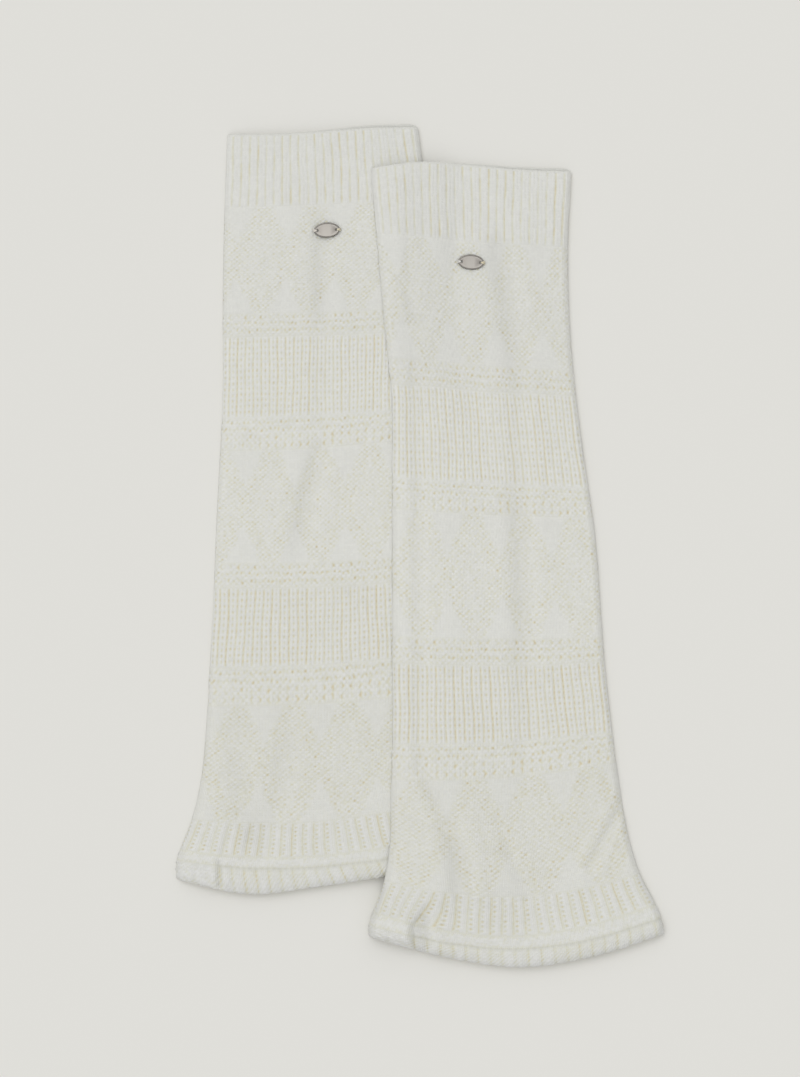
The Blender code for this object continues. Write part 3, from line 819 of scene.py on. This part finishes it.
def diamonds(tube, band, wale, course):
    """Four diamonds side by side in moss, sunk along their lattice, between triangles of plain knit."""
    shift = tube.diamond_shifts[band.name]
    sideways = np.abs((wale / WALES * DIAMONDS - shift * DIAMONDS + 0.5) % 1 - 0.5) * 2
    distance = sideways + np.abs(2 * course / band.courses - 1)
    distance = distance + LATTICE_WAVER * speckle(wale / 2, course / 3, 16)
    lattice = ease((LATTICE_HALF_WIDTH - np.abs(distance - 1)) / LATTICE_FADE)
    heart = ease((HEART_SIZE - distance) / LATTICE_FADE)
    outside = ease((distance - 1 - LATTICE_HALF_WIDTH) / LATTICE_FADE)
    strength = INSIDE_STRENGTH + (1 - INSIDE_STRENGTH) * np.maximum(lattice, heart)
    rows = [
        EyeletRow(PANEL_ROW_SPACING * (k + 0.5), 0.5 + PANEL_PITCH / 2 * (k % 2), PANEL_PITCH, 0.75)
        for k in range(int(band.courses / PANEL_ROW_SPACING))
    ]
    busy = moss(wale, course) - PLAIN_LEVEL + PANEL_EYELET_STRENGTH * eyelets(wale, course, rows)
    textured = PLAIN_LEVEL + strength * busy - LATTICE_SINK * lattice
    return textured * (1 - outside) + (plain_knit(wale, course) + PLAIN_RISE) * outside


KNITS["dots under a panel"] = dots
KNITS["dots over a panel"] = dots
KNITS["open rib"] = open_rib
KNITS["diamonds"] = diamonds

# The leg is one long tube. It is meshed in three stretches, with the first and last band of each.
LEG_STRETCHES = (("leg_upper", 1, 4), ("leg_middle", 5, 7), ("leg_lower", 8, 9))

for tube in (LEFT, RIGHT):
    for stretch, first, last in LEG_STRETCHES:
        rows = knit_rows(tube, first, last, ROWS_PER_COURSE)
        leg = knit_wall(f"{tube.name}_{stretch}", tube, rows)
        finish_knit(leg, tube, f"{tube.name}_leg", first, last)

# Hems
# The flared end at the ankle: a rib in which a column of eyelets takes turns with two smooth wales, and a
# narrow plain welt under it. It is knitted in one with the leg and spreads over the shoe.

HEM_BANDS = (10, 11)
# Over the lower tube's hem the right one's ribs lean to the left, by this many wales at the welt.
HEM_LEANS = {"left": 0.0, "right": 3.4}
LEANING_WALE = 12.0
LEANING_WIDTH = 6.0
# Where the eyelets and the pair of smooth wales lie in each rib, in wales.
HEM_EYELETS_AT = 0.95
HEM_PAIR_AT = 2.1


def hem_rib(tube, band, wale, course):
    """A valley, a chain of eyelets and a pair of smooth wales to each rib."""
    lean = HEM_LEANS[tube.name] * strip(wale - LEANING_WALE, LEANING_WIDTH)
    wale = wale + lean * course / band.courses
    rib = np.floor(wale / WALES_PER_RIB)
    along = wale - rib * WALES_PER_RIB
    line = np.round(wale / WALES_PER_RIB)
    valley = strip(wale - line * WALES_PER_RIB, 0.36) * (0.5 + 0.15 * uneven(line, 17))
    link = course / 2 + 0.2 * uneven(rib, 18) + 0.1 * speckle(rib, course / 4, 19)
    sideways = along - HEM_EYELETS_AT
    away = (link - np.round(link)) * 2
    strength = 0.58 + 0.25 * speckle(rib, course / 2, 20)
    hole = strip(sideways, 0.36) * strip(away, 0.5) * strength
    rim = strip(np.hypot(sideways / 0.75, away / 0.95) - 1, 0.35) * (np.abs(sideways) < 1)
    pair = 0.4 * strip(along - HEM_PAIR_AT, 0.75) - 0.3 * strip(along - HEM_PAIR_AT, 0.25)
    return 0.5 + pair + 0.3 * rim - hole - valley + lumps(wale, course, 21)


def welt(tube, band, wale, course):
    """A low roll of plain knit with slanted grooves."""
    bulge = 0.4 * np.sin(pi * course / band.courses)
    slanted = 0.2 * pulse(wale + 0.3 * course, 0.4)
    return 0.55 + bulge - slanted + 0.25 * speckle(1.5 * wale, 1.5 * course, 22)


KNITS["hem rib"] = hem_rib
KNITS["welt"] = welt

for tube in (LEFT, RIGHT):
    hem = knit_wall(f"{tube.name}_hem_rib", tube, knit_rows(tube, *HEM_BANDS, ROWS_PER_COURSE))
    finish_knit(hem, tube, f"{tube.name}_hem", *HEM_BANDS)

# Edgings
# The rolled last courses under the welt, pulled into one small scallop to a rib by the fastening thread. The
# stitches lean like the strands of a rope, and the lower edge turns under.

# The edging bulges, and from this share of its height on it rolls under.
EDGING_BULGE = 1.0
EDGING_ROLL = 2.2
EDGING_FLAT = 0.55
EDGING_ROWS = 30
SCALLOP_RISE = 0.6
# The left corner, this many wales of it, is rolled and not gathered.
CORNER_WALES = 9.5


def scallops(tube, band, wale, course):
    """A lobe to a rib, rounder towards the lower edge, of strands that slant up to the right."""
    line = np.round(wale / WALES_PER_RIB)
    wave = np.abs(np.sin(pi * wale / WALES_PER_RIB)) ** 0.5
    cut = strip(wale - line * WALES_PER_RIB, 0.26) * (0.25 + 0.2 * uneven(line, 25))
    lower = course / band.courses
    strand = np.cos(2 * pi * (0.95 * wale + 0.83 * course + 0.2 * uneven(line, 26)))
    rise = SCALLOP_RISE * (1 + lower) * (1 + 0.2 * uneven(np.floor(wale / WALES_PER_RIB), 23))
    gathered = ease((wale - CORNER_WALES) / 2)
    rough = (0.6 - 0.4 * gathered) * speckle(1.5 * wale, 1.5 * course, 24)
    roped = rise * wave + 0.45 * ease(2 * lower) * strand - cut
    return gathered * roped + (1 - gathered) * (0.85 + 0.3 * strand) + rough


KNITS["scallops"] = scallops


def edging_rows(tube):
    """Rows of the edging, evenly spaced down its flat part and round its roll, and the drop of each."""
    start, end = tube.downs[EDGING_BAND], tube.downs[EDGING_BAND + 1]
    flat_rows = EDGING_ROWS // 2
    flat = np.linspace(0, EDGING_FLAT, flat_rows, endpoint=False)
    turns = np.linspace(0, pi / 2, EDGING_ROWS - flat_rows)
    height = np.concatenate([flat, EDGING_FLAT + (1 - EDGING_FLAT) * np.sin(turns)])
    drop = np.concatenate([np.zeros(flat_rows), EDGING_ROLL * (1 - np.cos(turns))])
    drop -= EDGING_BULGE * np.sin(pi * height)
    down = start + height * (end - start)
    inside = inner_rows(end, start)
    course = np.linspace(0, BANDS[EDGING_BAND].courses, EDGING_ROWS)
    border = (0, EDGING_ROWS + len(inside) - 1)
    rows = join_rows(border, (down, 1, EDGING_BAND, course), (inside, 0, EDGING_BAND, course[-1]))
    return rows, np.concatenate([drop, np.zeros(len(inside))])[:, None]


for tube in (LEFT, RIGHT):
    rows, drop = edging_rows(tube)
    edging = knit_wall(f"{tube.name}_edging_roll", tube, rows, drop)
    finish_knit(edging, tube, f"{tube.name}_edging", EDGING_BAND, EDGING_BAND)

# Tags
# A small oval plate with a raised rim, stamped from sheet steel and nickel-plated. Its edges, rim groove and
# holes are painted dark: dirt, with painted shade and painted dark reflections. It lies on the knit under the
# cuff, sewn down through a hole at each end.

TAG_LENGTH = 14.5
TAG_WIDTH = 8.5
TAG_OUTLINE_POINTS = 72
HOLE_DIAMETER = 1.2
HOLE_SPACING = 10.6
HOLE_POINTS = 16
# The plate in rings from its lower edge over the rim to its field: how far in, how high and how dark, the
# dark being dirt with painted shade and painted dark reflections.
Ring = namedtuple("Ring", "inset height dark")
TAG_RINGS = (
    Ring(0.1, 0.0, 1.0),
    Ring(0.0, 0.12, 1.0),
    Ring(0.0, 0.5, 1.0),
    Ring(0.14, 0.72, 0.55),
    Ring(0.28, 0.8, 0.05),
    Ring(0.44, 0.8, 0.0),
    Ring(0.56, 0.68, 0.6),
    Ring(0.7, 0.56, 0.45),
    Ring(0.92, 0.55, 0.0),
)
# The holes' walls are painted dark: painted shade down in the holes.
HOLE_RINGS = (Ring(-0.16, 0.55, 0.3), Ring(-0.08, 0.54, 1.0), Ring(0.0, 0.46, 1.0), Ring(0.0, 0.0, 1.0))
TagPlace = namedtuple("TagPlace", "tube x y turn thread_colours")
# The thread at each tag's right end is drawn darker and yellower than at its left: painted shade, away from
# the light.
TAGS = (
    TagPlace(LEFT, -52.5, 177.5, 3, ("#E6E1D8", "#DED6BC")),
    TagPlace(RIGHT, 28.5, 159.5, -3, ("#E4E2DC", "#DDD3B6")),
)
# The plate's dark colour, mixed in by the dark attribute, is dirt with painted shade and painted dark
# reflections.
NICKEL_COLOUR = "#A29E98"
NICKEL_DIRT_AND_SHADE_COLOUR = "#3A2C25"
NICKEL_GRAIN = 0.3
NICKEL_DIRT_AND_SHADE_RANGE = 0.2
THREAD_DIAMETER = 0.42
# Each turn of thread comes up through the hole, over the plate's end and down into the knit. The path gives
# its distance from the plate's middle and its height. In the hole the turns lie closer, by this share.
THREAD_SPREADS = (-0.75, 0.0, 0.75)
SPREAD_IN_THE_HOLE = 0.15
THREAD_PATH = ((5.65, -0.2), (5.7, 0.8), (6.4, 1.1), (7.3, 1.05), (7.8, 0.4), (7.85, -0.5))
THREAD_PLY = 0.35


def make_nickel():
    """Nickel plate on stamped steel: a soft, faintly warm grey mirror with polishing marks and dark edges,
    the dark being dirt with painted shade and painted dark reflections.
    """
    material, tree = start_material("nickel-plated steel")
    place = add_node(tree, "TexCoord").outputs["Object"]
    grain = add_node(tree, "TexNoise", {}, {"Vector": place, "Scale": 1 / (NICKEL_GRAIN * MM), "Detail": 4.0})
    rough = add_node(tree, "MapRange", {}, {"Value": grain, "To Min": 0.22, "To Max": 0.42})
    dark = add_node(tree, "Attribute", {"attribute_name": "dark"})
    spread = add_node(
        tree, "Math", {"operation": "MULTIPLY_ADD"},
        {0: grain, 1: NICKEL_DIRT_AND_SHADE_RANGE, 2: -NICKEL_DIRT_AND_SHADE_RANGE / 2},
    )
    share = add_node(
        tree, "Math", {"operation": "ADD", "use_clamp": True}, {0: dark.outputs["Fac"], 1: spread}
    )
    tint = add_node(
        tree, "Mix", {"data_type": "RGBA"},
        {0: share, 6: linear(NICKEL_COLOUR), 7: linear(NICKEL_DIRT_AND_SHADE_COLOUR)},
    )
    shader = add_node(
        tree, "BsdfPrincipled", {},
        {"Base Color": tint.outputs[2], "Metallic": 1.0, "Roughness": rough},
    )
    add_node(tree, "OutputMaterial", {}, {"Surface": shader})
    return material


def make_thread_material(name, colour):
    """Twisted cotton sewing thread: matt, each ply lighter on its crown than between."""
    material, tree = start_material(name)
    place = add_node(tree, "TexCoord").outputs["Object"]
    ply = add_node(tree, "TexNoise", {}, {"Vector": place, "Scale": 1 / (THREAD_PLY * MM), "Detail": 2.0})
    value = add_node(tree, "MapRange", {}, {"Value": ply, "To Min": 0.8, "To Max": 1.1})
    shade = add_node(tree, "HueSaturation", {}, {"Value": value, "Color": linear(colour)})
    shader = add_node(tree, "BsdfPrincipled", {}, {"Base Color": shade, "Roughness": 0.8})
    add_node(tree, "OutputMaterial", {}, {"Surface": shader})
    return material


def add_loop(bm, dark, ring, centre, half_length, half_width, count):
    """A closed loop of points and edges round an ellipse at one ring's height."""
    points = []
    for k in range(count):
        turn = 2 * pi * k / count
        x = centre + (half_length - ring.inset) * cos(turn)
        point = bm.verts.new((x * MM, (half_width - ring.inset) * sin(turn) * MM, ring.height * MM))
        point[dark] = ring.dark
        points.append(point)
    return points, [bm.edges.new((points[k - 1], points[k])) for k in range(count)]


def join_loops(bm, loops):
    """Faces from each loop to the next."""
    for (first, _), (second, _) in zip(loops, loops[1:]):
        for k in range(len(first)):
            bm.faces.new((first[k - 1], first[k], second[k], second[k - 1]))


def make_tag(tag, place, nickel):
    """The plate: its rim, its field and its two holes with softened edges."""
    bm = bmesh.new()
    dark = bm.verts.layers.float.new("dark")
    rim = [add_loop(bm, dark, r, 0, TAG_LENGTH / 2, TAG_WIDTH / 2, TAG_OUTLINE_POINTS) for r in TAG_RINGS]
    join_loops(bm, rim)
    holes = []
    for side in (-1, 1):
        centre = side * HOLE_SPACING / 2
        radius = HOLE_DIAMETER / 2
        holes.append([add_loop(bm, dark, r, centre, radius, radius, HOLE_POINTS) for r in HOLE_RINGS])
        join_loops(bm, holes[-1])
    field = rim[-1][1] + holes[0][0][1] + holes[1][0][1]
    back = rim[0][1] + holes[0][-1][1] + holes[1][-1][1]
    for edges in (field, back):
        bmesh.ops.triangle_fill(bm, use_beauty=True, use_dissolve=False, edges=edges)
    bmesh.ops.recalc_face_normals(bm, faces=bm.faces)
    bm.transform(place)
    mesh = bpy.data.meshes.new(f"{tag.tube.name}_tag_plate")
    bm.to_mesh(mesh)
    bm.free()
    mesh.shade_smooth()
    mesh.set_sharp_from_angle(angle=radians(40))
    mesh.materials.append(nickel)
    plate = add_object(mesh.name, mesh)
    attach(plate, "root")
    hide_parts(f"{tag.tube.name}_tag")


def make_thread(tag, place, side, end, material):
    """The turns of thread over one end of the plate, spread like a fan."""
    curve = bpy.data.curves.new(f"{tag.tube.name}_tag_thread_{end}", "CURVE")
    curve.dimensions = "3D"
    curve.bevel_depth = THREAD_DIAMETER / 2 * MM
    curve.bevel_resolution = 2
    hole, knit = THREAD_PATH[0][0], THREAD_PATH[-1][0]
    for spread in THREAD_SPREADS:
        spline = curve.splines.new("NURBS")
        spline.points.add(len(THREAD_PATH) - 1)
        for point, (along, height) in zip(spline.points, THREAD_PATH):
            out = (along - hole) / (knit - hole)
            aside = spread * (SPREAD_IN_THE_HOLE + (1 - SPREAD_IN_THE_HOLE) * out)
            point.co = (*(place @ Vector((side * along * MM, aside * MM, height * MM))), 1)
        spline.order_u = 4
        spline.use_endpoint_u = True
    curve.materials.append(material)
    thread = add_object(curve.name, curve)
    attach(thread, "root")


NICKEL = make_nickel()

for tag in TAGS:
    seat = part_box(f"{tag.tube.name}_tag")[0][2]
    place = Matrix.Translation((tag.x * MM, tag.y * MM, seat)) @ Matrix.Rotation(radians(tag.turn), 4, "Z")
    make_tag(tag, place, NICKEL)
    for side, end, colour in zip((-1, 1), ("left", "right"), tag.thread_colours):
        cotton = make_thread_material(f"cotton sewing thread, {tag.tube.name} tag, {end}", colour)
        make_thread(tag, place, side, end, cotton)

# Floor
# A plain pale studio surface that the pair lies on, of matt paper without a shine. It is large enough to fill
# every view, and isn't part of the pair.

FLOOR_SIZE = 8.0
FLOOR_COLOUR = "#E0DFDA"

bm = bmesh.new()
bmesh.ops.create_grid(bm, x_segments=1, y_segments=1, size=FLOOR_SIZE / 2)
floor_mesh = bpy.data.meshes.new("floor")
bm.to_mesh(floor_mesh)
bm.free()
paper, tree = start_material("matt studio paper")
shader = add_node(
    tree, "BsdfPrincipled", {},
    {"Base Color": linear(FLOOR_COLOUR), "Roughness": 1.0, "Specular IOR Level": 0.0},
)
add_node(tree, "OutputMaterial", {}, {"Surface": shader})
floor_mesh.materials.append(paper)
add_object("floor", floor_mesh)

# Light
# A large soft box overhead, with less light from near the horizon, and a weaker light from the upper left.
# Both are white and broad, so that the knit's own relief shows and the shadows stay faint.

SUN_STRENGTH = 0.75
SUN_ANGLE = radians(50)
SUN_TILT = radians(28)
SUN_TURN = radians(40)
OVERHEAD_STRENGTH = 0.95
HORIZON_STRENGTH = 0.45

sun_data = bpy.data.lights.new("soft_sun", "SUN")
sun_data.energy = SUN_STRENGTH
sun_data.angle = SUN_ANGLE
sun = add_object("soft_sun", sun_data)
sun.rotation_euler = (0, -SUN_TILT, -SUN_TURN)
world = bpy.data.worlds.new("studio")
world.use_nodes = True
sky = world.node_tree
direction = add_node(sky, "TexCoord")
split = add_node(sky, "SeparateXYZ", {}, {0: direction.outputs["Generated"]})
fall = {"From Min": 0.0, "From Max": 1.0, "To Min": HORIZON_STRENGTH, "To Max": OVERHEAD_STRENGTH}
strength = add_node(sky, "MapRange", {}, {"Value": split.outputs[2], **fall})
sky.nodes["Background"].inputs["Color"].default_value = (1, 1, 1, 1)
sky.links.new(strength.outputs[0], sky.nodes["Background"].inputs["Strength"])
bpy.context.scene.world = world
bpy.context.scene.view_settings.view_transform = "Standard"

# Camera
# It looks straight down, as in the photograph, whose frame is 605.8 mm high at the knitting.

CAMERA_HEIGHT = 2.0
CAMERA_X, CAMERA_Y = -11.4 * MM, 4.3 * MM
FRAME_HEIGHT = 605.8 * MM
KNIT_HEIGHT = 5.0 * MM
SENSOR = 36.0

camera_data = bpy.data.cameras.new("camera")
camera_data.sensor_width = SENSOR
camera_data.lens = SENSOR * (CAMERA_HEIGHT - KNIT_HEIGHT) / FRAME_HEIGHT
camera = add_object("camera", camera_data)
camera.location = (CAMERA_X, CAMERA_Y, CAMERA_HEIGHT)
bpy.context.scene.camera = camera
